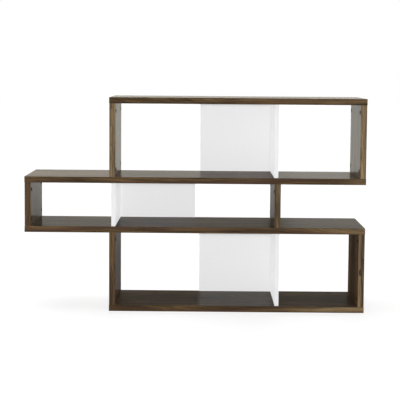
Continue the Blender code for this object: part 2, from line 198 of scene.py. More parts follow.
# How the figure colours the wood, from dark to pale: its value, then how light and how blue the wood is
WALNUT_TONES = ((0.27, 0.30, 1.1), (0.42, 0.74, 1.05), (0.54, 1.11, 0.98), (0.70, 1.85, 0.92))
DARK_TONE_LIGHT = 0.25  # how light the dark tone of the pores and of the band edges is, beside the wood
PORE_TONE = 0.4  # how much the stain darkens an open pore
PORE_ROUGHNESS = 0.15  # how much rougher an open pore is
EDGE_TONE = 0.3  # how much a band darkens toward its two long edges, to that dark tone
EDGE_TONE_WIDTH = 0.005
WOOD_IOR = 1.2
FIBRE_HEIGHT = 0.4  # beside the depth of a pore
WOOD_RELIEF = 0.00012
BUMP_STRENGTH = 0.3
ROUGHNESS_SWING = 0.1  # how far a mottled finish's roughness goes up and down

FLOOR_SIZE = 60.0
GLOW_START = 1.2  # metres behind the unit's middle where gloss begins to see the lit floor
GLOW_FULL = 7.0
# The backdrop as gloss sees it: each pair says where it ends and where it is full
BACKDROP_RISE = (12.0, 4.0)  # degrees above the horizon
BACKDROP_SIDES = (-0.2, 0.4)  # how far back a direction points, where 1 is straight back
# The dim patch in its middle, with pairs alike
MIDDLE_WIDTH = (0.088, 0.07)  # how far to a side a direction points, where 1 is straight to that side
MIDDLE_RISE = (6.2, 7.6)
MIDDLE_DIM = 0.75  # how much of the backdrop's light it lacks
FRONT_SOFTBOX_SIZE = (0.9, 0.3)
FAR_SOFTBOX_WIDTH = math.radians(40)
# The far lamps: the setting of their level, degrees above the horizon, and degrees round from the front
FAR_SOFTBOXES = {
    "back_softbox": ("back_level", 18, 180),
    "top_softbox": ("top_level", 78, -120),
    "left_softbox": ("side_level", 12, -90),
    "right_softbox": ("side_level", 12, 90),
}
# The lamps for white pieces alone: the setting, degrees round, and how the names of what they light end
SCREEN_LAMPS = {
    "left_screen_lamp": ("screen_level", -90, ("_divider", "_panel")),
    "right_screen_lamp": ("screen_level", 90, ("_divider", "_panel")),
    "panel_lamp": ("panel_level", 0, ("_panel",)),
}
SCREEN_LAMP_ELEVATION = 8
SENSOR_WIDTH = 36.0
VIEW_DISTANCE = 100.0


def size_of(name, description, default):
    """A length that a user can change."""
    return FloatProperty(
        name=name, description=description, default=default, min=0.0, precision=5,
        subtype="DISTANCE", unit="LENGTH",
    )


def colour_of(name, description, default):
    return FloatVectorProperty(
        name=name, description=description, default=default, min=0.0, max=1.0, subtype="COLOR"
    )


def share_of(name, description, default):
    return FloatProperty(
        name=name, description=description, default=default, min=0.0, max=1.0, subtype="FACTOR"
    )


def level_of(name, description, default):
    """A light level, where 1 shows a colour that faces the light as it is written."""
    return FloatProperty(name=name, description=description, default=default, min=0.0, max=4.0)


class JoinerySettings(bpy.types.PropertyGroup):
    """Sizes of the woodwork and its bores."""

    edge_radius: size_of("Edge radius", "Rounding of the edges of boards, uprights and screens", 0.0008)
    edge_segments: IntProperty(
        name="Edge segments", description="Flats in each rounded edge", default=3, min=1
    )
    band: size_of("Edge band", "Thickness of the veneer band round a board's edges", 0.0011)
    fit_gap: size_of("Fit", "Play between a bore and what goes into it", 0.0003)
    bore_end: size_of("Bore end", "Free space past the tip of a bolt or dowel", 0.001)
    dowel_radius: size_of("Dowel radius", "Radius of the dowels in the uprights' ends", 0.004)
    dowel_reach: size_of("Dowel reach", "How far an upright's dowel stands out of its end", 0.010)
    dowel_chamfer: size_of("Dowel chamfer", "Chamfer on a dowel's tip", 0.0008)


class FittingSettings(bpy.types.PropertyGroup):
    """Sizes of the cam and of the bolt that it draws."""

    cam_radius: size_of("Cam radius", "Radius of the cam in its pocket", 0.0075)
    rim_thickness: size_of("Rim thickness", "Thickness of the cam's rim", 0.001)
    rim_rounding: size_of("Rim rounding", "Rounding of the rim's edge", 0.0004)
    recess_length: size_of("Recess length", "Length of each arm of the driver's recess", 0.0085)
    recess_width: size_of("Recess width", "Width of each arm of the driver's recess", 0.0018)
    recess_depth: size_of("Recess depth", "Depth of the driver's recess", 0.004)
    mark_radius: size_of("Mark size", "Size of the arrow mark that shows how the cam is turned", 0.0011)
    mark_depth: size_of("Mark depth", "Depth of the arrow mark", 0.0003)
    neck_radius: size_of("Neck radius", "Radius of the bolt's neck, which the cam holds", 0.0022)
    shank_radius: size_of("Shank radius", "Radius of the bolt's shank", 0.0035)
    shank_play: size_of("Shank play", "Play between the shank and its bore", 0.0005)
    thread_radius: size_of("Thread radius", "Radius of the bolt over its thread", 0.0025)
    thread_depth: size_of("Thread depth", "Depth of the thread", 0.0005)
    thread_length: size_of("Thread length", "Length of thread in the board", 0.011)
    thread_turns: IntProperty(
        name="Thread turns", description="Turns in the length of the thread", default=8, min=1
    )


class FinishSettings(bpy.types.PropertyGroup):
    """Colours and sheen of the finishes."""

    walnut: colour_of("Walnut", "Mean colour of the walnut veneer", paint(83, 66, 45))
    heartwood: colour_of("Heartwood", "Colour of the walnut's reddish streaks", paint(84, 60, 50))
    # The paler colour that bands turn to: painted light toward the boards' right ends, where more light
    # falls from the right
    sapwood: colour_of("Sapwood", "Colour of the walnut's pale sapwood", paint(119, 101, 76))
    walnut_roughness: share_of("Walnut roughness", "Roughness of the open-pored walnut", 0.6)
    walnut_coat: share_of("Lacquer film", "How much of the walnut the lacquer film covers", 0.22)
    walnut_coat_roughness: share_of("Film roughness", "Roughness of the satin film on the walnut", 0.12)
    lacquer: colour_of("White lacquer", "Colour of the dividers and back panels", paint(232, 232, 233))
    lacquer_roughness: share_of("Lacquer roughness", "Roughness of the white lacquer", 0.45)
    bronze: colour_of("Bronzed cam", "Colour of the cams", paint(48, 42, 38))
    zinc: colour_of("Zinc bolt", "Colour of the plated bolts", paint(176, 176, 172))
    beech: colour_of("Beech dowel", "Colour of the dowels", paint(196, 160, 116))
    core: colour_of("Chipboard core", "Colour inside the boards", paint(172, 142, 102))


class StudioSettings(bpy.types.PropertyGroup):
    """The camera, the lamps and the floor."""

    camera_place: FloatVectorProperty(
        name="Camera place", description="Where the camera stands",
        default=(0.04542, -5.00565, 1.11639), subtype="TRANSLATION", unit="LENGTH",
    )
    camera_turn: FloatVectorProperty(
        name="Camera turn", description="The camera's rotation about X, Y and Z",
        default=tuple(math.radians(angle) for angle in (85.7384, -0.43274, 0.3172)),
        subtype="EULER", unit="ROTATION",
    )
    lens: FloatProperty(
        name="Lens", description="Focal length of the camera", default=95.879, unit="CAMERA"
    )
    shift: FloatProperty(
        name="Vertical shift", description="How far the lens is shifted, as a share of the frame",
        default=-0.13,
    )
    front_level: level_of("Front softbox", "Light of the softbox round the camera", 0.67)
    screen_level: level_of("Screen lamps", "Light of the two lamps for the white screens alone", 0.84)
    panel_level: level_of("Panel lamp", "Light of the lamp for the white back panels alone", 0.13)
    back_level: level_of("Back softbox", "Light of the softbox behind the unit", 0.63)
    top_level: level_of("Top softbox", "Light of the softbox overhead", 0.35)
    side_level: level_of("Side softboxes", "Light of the softboxes to the left and right", 0.38)
    ambient_level: level_of("Ambient", "Even light from all round", 0.17)
    backdrop_level: level_of("Backdrop", "Brightness of the lit backdrop, as gloss shows it", 2.0)
    lit_floor_level: level_of("Lit floor", "Brightness of the floor behind, as gloss shows it", 1.35)
    room_level: level_of("Room", "Brightness of the room round it, as gloss shows it", 0.05)
    gloss_tint: colour_of(
        "Gloss tint", "Colour of the backdrop and the floor, as gloss shows them", (1.0, 1.0, 0.92)
    )
    floor_glow: level_of("Floor glow", "Part of the floor's white that no shadow takes away", 0.72)
    floor: colour_of("Floor", "Colour of the pale floor under the lamps", paint(160, 160, 160))


def select_only(obj):
    """Selects one piece and nothing else, in object mode."""
    if bpy.context.object and bpy.context.object.mode != "OBJECT":
        bpy.ops.object.mode_set(mode="OBJECT")
    bpy.ops.object.select_all(action="DESELECT")
    obj.select_set(True)
    bpy.context.view_layer.objects.active = obj


def dressed(obj, *materials):
    """Gives a piece its materials."""
    for material in materials:
        obj.data.materials.append(material)
    return obj


def put_in_place(obj, name, location=(0, 0, 0), turn=(0, 0, 0)):
    """Names a piece, moves it and puts its place into its mesh."""
    select_only(obj)
    obj.name = name
    obj.data.name = name
    obj.location = Vector(location) + obj.location
    obj.rotation_euler = turn
    bpy.ops.object.transform_apply(location=True, rotation=True, scale=True)
    return obj


def block(name, low, high):
    """A box between two corners."""
    low, high = Vector(low), Vector(high)
    bpy.ops.object.select_all(action="DESELECT")
    bpy.ops.mesh.primitive_cube_add(size=1, location=(low + high) / 2, scale=high - low)
    return put_in_place(bpy.context.object, name)


def rod(name, start, end, radius, sides=BORE_SIDES):
    """A cylinder from one point to another."""
    start, end = Vector(start), Vector(end)
    bpy.ops.object.select_all(action="DESELECT")
    bpy.ops.mesh.primitive_cylinder_add(
        vertices=sides, radius=radius, depth=(end - start).length, location=(start + end) / 2
    )
    turn = Vector((0, 0, 1)).rotation_difference(end - start).to_euler()
    return put_in_place(bpy.context.object, name, turn=turn)


def edit(obj, kind, chosen):
    """Opens the piece in edit mode with only those of its faces or edges selected that are chosen."""
    select_only(obj)
    bpy.ops.object.mode_set(mode="EDIT")
    bpy.ops.mesh.select_mode(type="FACE" if kind == "faces" else "EDGE")
    bpy.ops.mesh.select_all(action="DESELECT")
    shape = bmesh.from_edit_mesh(obj.data)
    for element in getattr(shape, kind):
        element.select_set(chosen(element))
    shape.select_flush_mode()
    bmesh.update_edit_mesh(obj.data)


def leave_edit():
    """Goes back to object mode."""
    bpy.ops.object.mode_set(mode="OBJECT")


def turned(name, profile, sides):
    """A solid turned about Z from (height, radius) steps, drawn out of a disc from the bottom up."""
    height, radius = profile[0]
    bpy.ops.object.select_all(action="DESELECT")
    bpy.ops.mesh.primitive_circle_add(
        vertices=sides, radius=radius, fill_type="NGON", location=(0, 0, height)
    )
    solid = put_in_place(bpy.context.object, name)
    edit(solid, "faces", lambda face: True)
    for next_height, next_radius in profile[1:]:
        rise = (0, 0, next_height - height)
        bpy.ops.mesh.extrude_region_move(TRANSFORM_OT_translate={"value": rise})
        grow = next_radius / radius
        bpy.ops.transform.resize(value=(grow, grow, 1), center_override=(0, 0, next_height))
        height, radius = next_height, next_radius
    bpy.ops.mesh.select_all(action="SELECT")
    bpy.ops.mesh.normals_make_consistent(inside=False)
    leave_edit()
    return solid


def runs_along(*axes):
    """A choice of edges that run along one of the axes."""
    def chosen(edge):
        run = edge.verts[1].co - edge.verts[0].co
        return any(abs(run[axis]) > PARALLEL * run.length for axis in axes)
    return chosen


def round_edges(obj, chosen, joinery):
    """Rounds the chosen edges."""
    edit(obj, "edges", chosen)
    bpy.ops.mesh.bevel(offset=joinery.edge_radius, segments=joinery.edge_segments, affect="EDGES")
    leave_edit()


def cut_seam(obj, axis, place):
    """Cuts the surface along a plane across one axis, where an edge band meets the veneer."""
    edit(obj, "faces", lambda face: True)
    point = Vector((0, 0, 0))
    across = Vector((0, 0, 0))
    point[axis] = place
    across[axis] = 1
    bpy.ops.mesh.bisect(plane_co=point, plane_no=across)
    leave_edit()


def joined(name, parts):
    """Several pieces as one object."""
    select_only(parts[0])
    for part in parts:
        part.select_set(True)
    if len(parts) > 1:
        bpy.ops.object.join()
    parts[0].name = name
    return parts[0]


def combine(obj, tools, operation="DIFFERENCE"):
    """Cuts the tools out of the piece or fuses them with it: the new faces keep the tools' finish."""
    tool = joined(obj.name + "_tool", tools)
    modifier = obj.modifiers.new(operation.lower(), "BOOLEAN")
    modifier.operation = operation
    modifier.solver = "EXACT"
    modifier.material_mode = "TRANSFER"
    modifier.object = tool
    select_only(obj)
    bpy.ops.object.modifier_apply(modifier=modifier.name)
    bpy.data.objects.remove(tool, do_unlink=True)


def finished(obj, nodes):
    """Shades a piece smoothly round its edges and lets it stand for its CAD nodes."""
    select_only(obj)
    bpy.ops.object.shade_smooth_by_angle(angle=SMOOTH_ANGLE)
    modifier = obj.modifiers.new("flat_faces", "WEIGHTED_NORMAL")
    modifier.keep_sharp = True
    bpy.ops.object.modifier_apply(modifier=modifier.name)
    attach(obj, BODY)
    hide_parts(*nodes)


def is_socket(value):
    return isinstance(value, bpy.types.NodeSocket)


def feed(node, inputs):
    """Gives a node's inputs their values, or links them to sockets."""
    for name, value in inputs.items():
        if is_socket(value):
            node.id_data.links.new(value, node.inputs[name])
        else:
            node.inputs[name].default_value = value


def put(tree, kind, inputs=None, **settings):
    """A shader node with its settings and inputs."""
    node = tree.nodes.new(kind)
    for name, value in settings.items():
        setattr(node, name, value)
    feed(node, inputs or {})
    return node


def result(kind, values, **settings):
    """What a node makes of its values, put in the tree that the sockets among them belong to."""
    tree = next(value.id_data for value in values if is_socket(value))
    return put(tree, kind, dict(enumerate(values)), **settings).outputs[0]


def maths(operation, *values):
    """A sum on numbers."""
    return result("ShaderNodeMath", values, operation=operation)


def vector_maths(operation, *values):
    """A sum on vectors."""
    return result("ShaderNodeVectorMath", values, operation=operation)


def vector_of(*parts):
    """A vector out of its X, Y and Z."""
    return result("ShaderNodeCombineXYZ", parts)


def noise(place, scale, detail=1.0, roughness=0.5, output="Fac"):
    """Fractal noise with a scale of its own along each axis, in features a metre."""
    stretched = vector_maths("MULTIPLY", place, scale)
    inputs = {"Vector": stretched, "Scale": 1.0, "Detail": detail, "Roughness": roughness}
    return put(place.id_data, "ShaderNodeTexNoise", inputs).outputs[output]


def spread(value, low, high):
    """Stretches the range from low to high over 0 to 1, cut off at both ends."""
    inputs = {"Value": value, "From Min": low, "From Max": high}
    return put(value.id_data, "ShaderNodeMapRange", inputs, clamp=True).outputs["Result"]


def blend(factor, first, second):
    """One colour mixed with another."""
    inputs = {0: factor, 6: first, 7: second}
    return put(factor.id_data, "ShaderNodeMix", inputs, data_type="RGBA").outputs[2]


def parts_of(vector):
    """The X, Y and Z of a vector."""
    return put(vector.id_data, "ShaderNodeSeparateXYZ", {0: vector}).outputs


def tinted(colour, lightness=1.0, blueness=1.0):
    """A colour made lighter or bluer, with the full opacity that a colour socket takes."""
    red, green, blue = colour
    return (red * lightness, green * lightness, blue * lightness * blueness, 1.0)


def ramp(value, stops):
    """Colours along a value, each stop given as its position and colour."""
    node = put(value.id_data, "ShaderNodeValToRGB", {"Fac": value})
    elements = node.color_ramp.elements
    while len(elements) < len(stops):
        elements.new(0.5)
    for element, (position, colour) in zip(elements, stops):
        element.position = position
        element.color = colour
    return node.outputs["Color"]


def new_material(name):
    """A material, its nodes and its shader."""
    material = bpy.data.materials.new(name)
    material.use_nodes = True
    tree = material.node_tree
    return material, tree, tree.nodes["Principled BSDF"]


def relief(height, distance):
    """The normals of a surface on which a height of 1 stands as far out as the distance."""
    inputs = {"Strength": BUMP_STRENGTH, "Distance": distance, "Height": height}
    return put(height.id_data, "ShaderNodeBump", inputs).outputs["Normal"]


def round_a_knot(axes, knot):
    """How far a knot pushes the grain aside, as a post does a stream, and how near it is."""
    centre = parts_of(knot)
    along = maths("MULTIPLY", maths("SUBTRACT", axes["X"], centre["X"]), KNOT_STRETCH)
    across = maths("SUBTRACT", axes["Y"], centre["Y"])
    apart = maths("ADD", maths("POWER", along, 2.0), maths("POWER", across, 2.0))
    size = maths("POWER", centre["Z"], 2.0)
    reach = maths("MAXIMUM", maths("MAXIMUM", apart, size), NOT_ZERO)
    share = maths("DIVIDE", size, reach)
    return maths("MULTIPLY", across, share), share


def walnut_figure():
    """The node group that draws walnut in a leaf's own metres: X along the grain, Y across, Z into it.

    Figure runs from 0 in dark wood to 1 in pale wood, Heart is 1 in a reddish streak, the third output is
    1 where a band has turned paler, painted light toward the boards' right ends, Pores is 1 in an open
    pore, and
    Height is what the pores and fibres leave of the surface.
    """
    tree = bpy.data.node_groups.new("walnut_figure", "ShaderNodeTree")
    tree.interface.new_socket("Seed", in_out="INPUT", socket_type="NodeSocketFloat")
    for name in ("Place", "Knot", "Run Out", "Sapwood"):
        tree.interface.new_socket(name, in_out="INPUT", socket_type="NodeSocketVector")
    for name in ("Figure", "Heart", "Sap", "Pores", "Height"):
        tree.interface.new_socket(name, in_out="OUTPUT", socket_type="NodeSocketFloat")
    given = tree.nodes.new("NodeGroupInput").outputs

    axes = parts_of(given["Place"])
    pushed, knot = round_a_knot(axes, given["Knot"])
    run_out = parts_of(given["Run Out"])
    past = maths("MAXIMUM", maths("SUBTRACT", axes["X"], run_out["X"]), 0.0)
    mirrored = maths("ABSOLUTE", axes["Y"])
    straight = maths("SUBTRACT", mirrored, pushed)
    sloping = maths("MULTIPLY_ADD", past, run_out["Y"], straight)
    leaf = vector_maths("ADD", vector_of(axes["X"], sloping, axes["Z"]), given["Seed"])

    # The grain wanders slowly across the leaf, with a finer waver on top
    slow = noise(leaf, SLOW_WANDER, output="Color")
    fine = noise(leaf, FINE_WANDER, output="Color")
    half = (0.5, 0.5, 0.5)
    waver = vector_maths("MULTIPLY", vector_maths("SUBTRACT", fine, half), FINE_REACH)
    slow = vector_maths("SUBTRACT", slow, half)
    wander = vector_maths("MULTIPLY_ADD", slow, SLOW_REACH, waver)
    grain = vector_maths("ADD", leaf, wander)

    # Growth rings about the log's pith, which the leaf cuts into arches
    moved = parts_of(wander)
    across = maths("ADD", maths("SUBTRACT", sloping, LEAF_WIDTH / 2), moved["Y"])
    depth = maths("ADD", axes["Z"], moved["Z"])
    depth = maths("MULTIPLY_ADD", axes["X"], PITH_SLOPE, depth)
    inputs = {"Vector": vector_of(0.0, across, depth), "Scale": RING_SCALE, "Distortion": 0.0}
    shape = {"wave_type": "RINGS", "rings_direction": "X", "wave_profile": "SAW"}
    rings = put(tree, "ShaderNodeTexWave", inputs, **shape).outputs["Fac"]

    # The clouds stay where they are in the leaf, and the rest runs with the grain
    figure = maths("MULTIPLY", spread(knot, *KNOT_RANGE), -KNOT_DARKNESS)
    figure = maths("MULTIPLY_ADD", rings, RING_SHARE, figure)
    drawn = {}
    for name, (scale, detail, roughness, share) in FIGURE_NOISES.items():
        place = leaf if name == "clouds" else grain
        drawn[name] = noise(place, scale, detail, roughness)
        even = spread(drawn[name], *NOISE_RANGE)
        figure = maths("MULTIPLY_ADD", even, share, figure)

    heart = noise(vector_maths("ADD", grain, HEART_APART), HEARTS)
    pores = spread(noise(grain, PORES), *PORE_RANGE)
    hollows = maths("MULTIPLY", pores, -1.0)
    # Where a band turns paler: painted light toward the boards' right ends, where more light falls from
    # the right, and all along some uprights' bands
    border = parts_of(given["Sapwood"])
    wavering = maths("MULTIPLY_ADD", moved["Y"], PAINTED_LIGHT_BORDER_WAVER, axes["X"])
    pale_and_painted_light = spread(wavering, border["X"], border["Y"])
    put(tree, "NodeGroupOutput", {
        "Figure": figure,
        "Heart": spread(heart, *HEART_RANGE),
        "Sap": maths("MULTIPLY", pale_and_painted_light, border["Z"]),
        "Pores": pores,
        "Height": maths("MULTIPLY_ADD", drawn["fibres"], FIBRE_HEIGHT, hollows),
    })
    return tree


def walnut(name, finish, light, order, shift, seed, band=None, film=1.0, **marks):
    """Walnut veneer under a satin lacquer.

    order gives the axes that run along the grain, across the leaf and into it, and shift moves the
    leaf's own origin there. band gives the middle and the half width of a band, whose edges are darker.
    film is how much of the usual lacquer film this surface has taken, and marks are a band's knot,
    run_out and paler part, which is painted light toward the boards' right ends.
    """
    marks = {**PLAIN_LEAF, **marks}
    material, tree, shader = new_material(name)
    axes = parts_of(put(tree, "ShaderNodeTexCoord").outputs["Object"])
    laid = vector_of(*(axes[axis] for axis in order))
    moved = put(tree, "ShaderNodeMapping", {"Vector": laid, "Location": shift}).outputs["Vector"]
    figure = bpy.data.node_groups.get("walnut_figure") or walnut_figure()
    inputs = {
        "Place": moved, "Seed": seed, "Knot": marks["knot"], "Run Out": (*marks["run_out"], 0),
        "Sapwood": marks["sapwood"],
    }
    leaf = put(tree, "ShaderNodeGroup", inputs, node_tree=figure).outputs

    # Painted light: the bands turn paler toward the boards' right ends, where more light falls from the
    # right
    tone = blend(leaf["Sap"], tinted(finish.walnut, light), tinted(finish.sapwood, light))
    stops = [(value, tinted(WHITE, *tint)) for value, *tint in WALNUT_TONES]
    surface = vector_maths("MULTIPLY", ramp(leaf["Figure"], stops), tone)
    heartwood = maths("MULTIPLY_ADD", leaf["Sap"], -HEART_SHARE, HEART_SHARE)
    red = maths("MULTIPLY", leaf["Heart"], heartwood)
    surface = blend(red, surface, tinted(finish.heartwood, light))
    dark_tone = tinted(finish.walnut, DARK_TONE_LIGHT * light)
    surface = blend(maths("MULTIPLY", leaf["Pores"], PORE_TONE), surface, dark_tone)
    if band:
        middle, half_width = band
        side = parts_of(moved)["Y"]
        aside = maths("ABSOLUTE", maths("SUBTRACT", side, middle))
        edge = spread(aside, half_width - EDGE_TONE_WIDTH, half_width)
        surface = blend(maths("MULTIPLY", edge, EDGE_TONE), surface, dark_tone)
    rough = maths("MULTIPLY_ADD", leaf["Pores"], PORE_ROUGHNESS, finish.walnut_roughness)
    feed(shader, {
        "Base Color": surface,
        "Roughness": rough,
        "IOR": 1 + (WOOD_IOR - 1) * film,
        "Coat Weight": finish.walnut_coat * film,
        "Coat Roughness": finish.walnut_coat_roughness,
        "Normal": relief(leaf["Height"], WOOD_RELIEF),
    })
    return material


def mottled(name, colour, contrast, scale, roughness, depth, metallic=0.0, specular=0.5):
    """An even finish whose colour, roughness and height vary a little with a noise of one scale.

    contrast is how far the colour goes up and down, scale is in features a metre and depth in metres.
    """
    made = bpy.data.materials.get(name)
    if made:
        return made
    material, tree, shader = new_material(name)
    place = put(tree, "ShaderNodeTexCoord").outputs["Object"]
    grain = noise(place, (scale, scale, scale), detail=3.0, roughness=0.6)
    stops = list(zip(NOISE_RANGE, (tinted(colour, 1 - contrast), tinted(colour, 1 + contrast))))
    swing = 2 * ROUGHNESS_SWING
    feed(shader, {
        "Base Color": ramp(grain, stops),
        "Roughness": maths("MULTIPLY_ADD", grain, swing, roughness - ROUGHNESS_SWING),
        "Metallic": metallic,
        "Specular IOR Level": specular,
        "Normal": relief(grain, depth),
    })
    return material


def core_finish(finish):
    """Raw chipboard."""
    return mottled(
        "raw_chipboard", finish.core, contrast=0.3, scale=500.0, roughness=0.85, depth=0.0003
    )


def beech_finish(finish):
    """Raw beech."""
    return mottled("raw_beech", finish.beech, contrast=0.12, scale=900.0, roughness=0.6, depth=0.0001)


def lacquer_finish(finish):
    """Sprayed satin lacquer, nearly even, with the fine ripple of a sprayed coat."""
    return mottled(
        "sprayed_lacquer", finish.lacquer, contrast=0.008, scale=160.0,
        roughness=finish.lacquer_roughness, depth=0.00003,
    )


def bronze_finish(finish):
    """Dull bronzing, so that a cam stays dark where the wood beside it shines."""
    return mottled(
        "dull_bronzing", finish.bronze, contrast=0.25, scale=1500.0, roughness=0.6, depth=0.00005,
        specular=0.0,
    )


def zinc_finish(finish):
    """Bright zinc plating."""
    return mottled(
        "zinc_plating", finish.zinc, contrast=0.08, scale=1200.0, roughness=0.35, depth=0.00003,
        metallic=1.0,
    )


def leaf_materials(name, settings, low, high, along, thick):
    """The finishes of one walnut piece: faces, outer faces, long bands, end bands and core."""
    finish = settings.finish
    number = list(LEAVES).index(name)
    leaf = {**PLAIN_LEAF, **LEAVES[name]}
    # A piece's faces take a lightness that is partly painted shade and sheen; its bands take the wood's
    # own tone
    face_tone_and_painted_shade, band_light = leaf["light"]
    face_seed, band_seed = leaf["seeds"]
    centre = (low + high) / 2
    inwards = BAND_FROM_SEAM + BAND_FROM_SEAM_STEP * number
    from_pith = BAND_FROM_PITH + BAND_FROM_PITH_STEP * number
    middle_and_half = (inwards, (high[thick] - low[thick]) / 2)
    face_shift = (-centre[along], -centre[Y], FACE_FROM_PITH - centre[thick])
    band_shift = (-centre[along], inwards - centre[thick], from_pith)
    end_shift = (END_ALONG, inwards - centre[thick], END_FROM_PITH)
    face = ((along, Y, thick), face_shift)
    band = ((along, thick, Y), band_shift, band_seed, middle_and_half)
    end_band = ((Y, thick, along), end_shift, band_seed, middle_and_half)
    knot_along, knot_across, knot_radius = leaf["knot"]
    knot = (knot_along, knot_across + inwards, knot_radius)
    marks = {"knot": knot, "run_out": leaf["run_out"], "sapwood": leaf["sapwood"]}
    return (
        walnut(name + "_veneer", finish, face_tone_and_painted_shade, *face, face_seed, film=leaf["film"]),
        walnut(name + "_outer_veneer", finish, OUTER_LIGHT, *face, band_seed),
        walnut(name + "_band", finish, band_light, *band, **marks),
        walnut(name + "_end_band", finish, band_light, *end_band),
        core_finish(finish),
    )


def veneered(name, low, high, along, settings, bay_side=0):
    """A veneered board between two corners, banded at the front and back.

    A horizontal board is banded at its ends too. An upright's ends butt against the boards and show
    the core, and bay_side is 1 where the upright's inner face looks to +X and -1 where it looks to -X.
    """
    joinery = settings.joinery
    lies_flat = along == X
    thick = Z if lies_flat else X
    rounded = (X, Y, Z) if lies_flat else (along,)
    board = block("walnut_" + name, low, high)
    round_edges(board, runs_along(*rounded), joinery)
    inner_low = low + Vector((joinery.band,) * 3)
    inner_high = high - Vector((joinery.band,) * 3)
    for axis in (Y, along) if lies_flat else (Y,):
        cut_seam(board, axis, inner_low[axis])
        cut_seam(board, axis, inner_high[axis])
    veneer, outer_veneer, band, end_band, core = range(5)
    dressed(board, *leaf_materials(name, settings, low, high, along, thick))
    for face in board.data.polygons:
        middle = face.center
        if not inner_low[Y] < middle[Y] < inner_high[Y]:
            face.material_index = band
        elif lies_flat and not inner_low[along] < middle[along] < inner_high[along]:
            face.material_index = end_band
        elif not lies_flat and abs(face.normal[along]) > PARALLEL:
            face.material_index = core
        elif face.normal[X] * bay_side < 0:
            face.material_index = outer_veneer
        else:
            face.material_index = veneer
    return board


def middle_of(node):
    """The middle of a CAD node."""
    low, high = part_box(node)
    return (low + high) / 2


def fitting_node(level, side, end, row):
    return f"{level}_{side}_{end}_{row}_cam_fitting"


def fitting_axes(level, side, end, row):
    """Where the axes of a fitting's cam and bolt cross."""
    low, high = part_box(fitting_node(level, side, end, row))
    rim_radius = (high.y - low.y) / 2
    height = low.z + rim_radius if end == "top" else high.z - rim_radius
    return Vector((middle_of(f"{level}_{side}_upright").x, (low.y + high.y) / 2, height))


def upward_bore(place, surface, inwards, depth, radius, material):
    """A cutter for a vertical bore: inwards is 1 where the wood lies above the surface."""
    start = (place[X], place[Y], surface - inwards * CUTTER_OVERRUN)
    end = (place[X], place[Y], surface + inwards * depth)
    return dressed(rod("bore", start, end, radius), material)


def board_bores(level, end, surface, inwards, settings):
    """Cutters for what one level's uprights and divider fasten into a board's face."""
    joinery, fitting = settings.joinery, settings.fitting
    core = core_finish(settings.finish)
    bolt = (fitting.thread_length + joinery.bore_end, fitting.thread_radius + joinery.fit_gap, core)
    dowel = (joinery.dowel_reach + joinery.bore_end, joinery.dowel_radius + joinery.fit_gap, core)
    cutters = []
    for side in SIDES:
        cutters.append(upward_bore(middle_of(f"{level}_{side}_upright"), surface, inwards, *dowel))
        for row in ROWS:
            cutters.append(upward_bore(fitting_axes(level, side, end, row), surface, inwards, *bolt))
    for row in ROWS:
        spot = middle_of(f"{level}_divider_{end}_{row}_dowel")
        cutters.append(upward_bore(spot, surface, inwards, *dowel))
    return cutters


class SHELVING_OT_boards(bpy.types.Operator):
    """Make the four walnut boards that run through, bored for bolts and dowels"""

    bl_idname = "shelving.boards"
    bl_label = "Boards"

    def execute(self, context):
        for name in BOARDS:
            low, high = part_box(name)
            board = veneered(name, low, high, X, context.scene)
            cutters = []
            for level, (below, above) in LEVELS.items():
                if name == below:
                    cutters += board_bores(level, "bottom", high.z, -1, context.scene)
                if name == above:
                    cutters += board_bores(level, "top", low.z, 1, context.scene)
            combine(board, cutters)
            finished(board, [name])
        return {"FINISHED"}


def end_dowel(place, surface, inwards, joinery, material):
    """The dowel glued into an upright's end, half in the wood and half out."""
    reach, radius, chamfer = joinery.dowel_reach, joinery.dowel_radius, joinery.dowel_chamfer
    profile = ((-reach, radius), (reach - chamfer, radius), (reach, radius - chamfer))
    dowel = turned("end_dowel", profile, BORE_SIDES)
    outwards = 0 if inwards < 0 else math.pi
    put_in_place(dowel, "end_dowel", (place[X], place[Y], surface), (outwards, 0, 0))
    return dressed(dowel, material)


class SHELVING_OT_uprights(bpy.types.Operator):
    """Make the six walnut uprights, with their cam pockets, end bores and glued dowels"""

    bl_idname = "shelving.uprights"
    bl_label = "Uprights"

    def execute(self, context):
        for level in LEVELS:
            for side in SIDES:
                self.upright(level, side, context.scene)
        return {"FINISHED"}

    def upright(self, level, side, settings):
        joinery, fitting = settings.joinery, settings.fitting
        core = core_finish(settings.finish)
        beech = beech_finish(settings.finish)
        name = f"{level}_{side}_upright"
        low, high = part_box(name)
        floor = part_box(LEVELS[level][0])[1].z
        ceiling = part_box(LEVELS[level][1])[0].z
        low.z = floor + joinery.fit_gap
        high.z = ceiling - joinery.fit_gap
        bay_side = 1 if side == "left" else -1
        upright = veneered(name, low, high, Z, settings, bay_side)
        face = high.x if side == "left" else low.x
        pocket_radius = fitting.cam_radius + joinery.fit_gap
        bolt_bore = fitting.shank_radius + fitting.shank_play
        pockets = []
        bores = []
        dowels = []
        for end, surface, inwards in (("bottom", floor, 1), ("top", ceiling, -1)):
            for row in ROWS:
                spot = fitting_axes(level, side, end, row)
                node_low, node_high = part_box(fitting_node(level, side, end, row))
                cam_foot = node_low.x if side == "left" else node_high.x
                mouth = (face + bay_side * CUTTER_OVERRUN, spot.y, spot.z)
                pocket_floor = (cam_foot - bay_side * joinery.fit_gap, spot.y, spot.z)
                pocket = rod("pocket", mouth, pocket_floor, pocket_radius, CAM_SIDES)
                pockets.append(dressed(pocket, core))
                deep = abs(spot.z - surface)
                bores.append(upward_bore(spot, surface, inwards, deep, bolt_bore, core))
            dowels.append(end_dowel((low + high) / 2, surface, inwards, joinery, beech))
        combine(upright, pockets)
        combine(upright, bores)
        combine(upright, dowels, "UNION")
        finished(upright, [name])


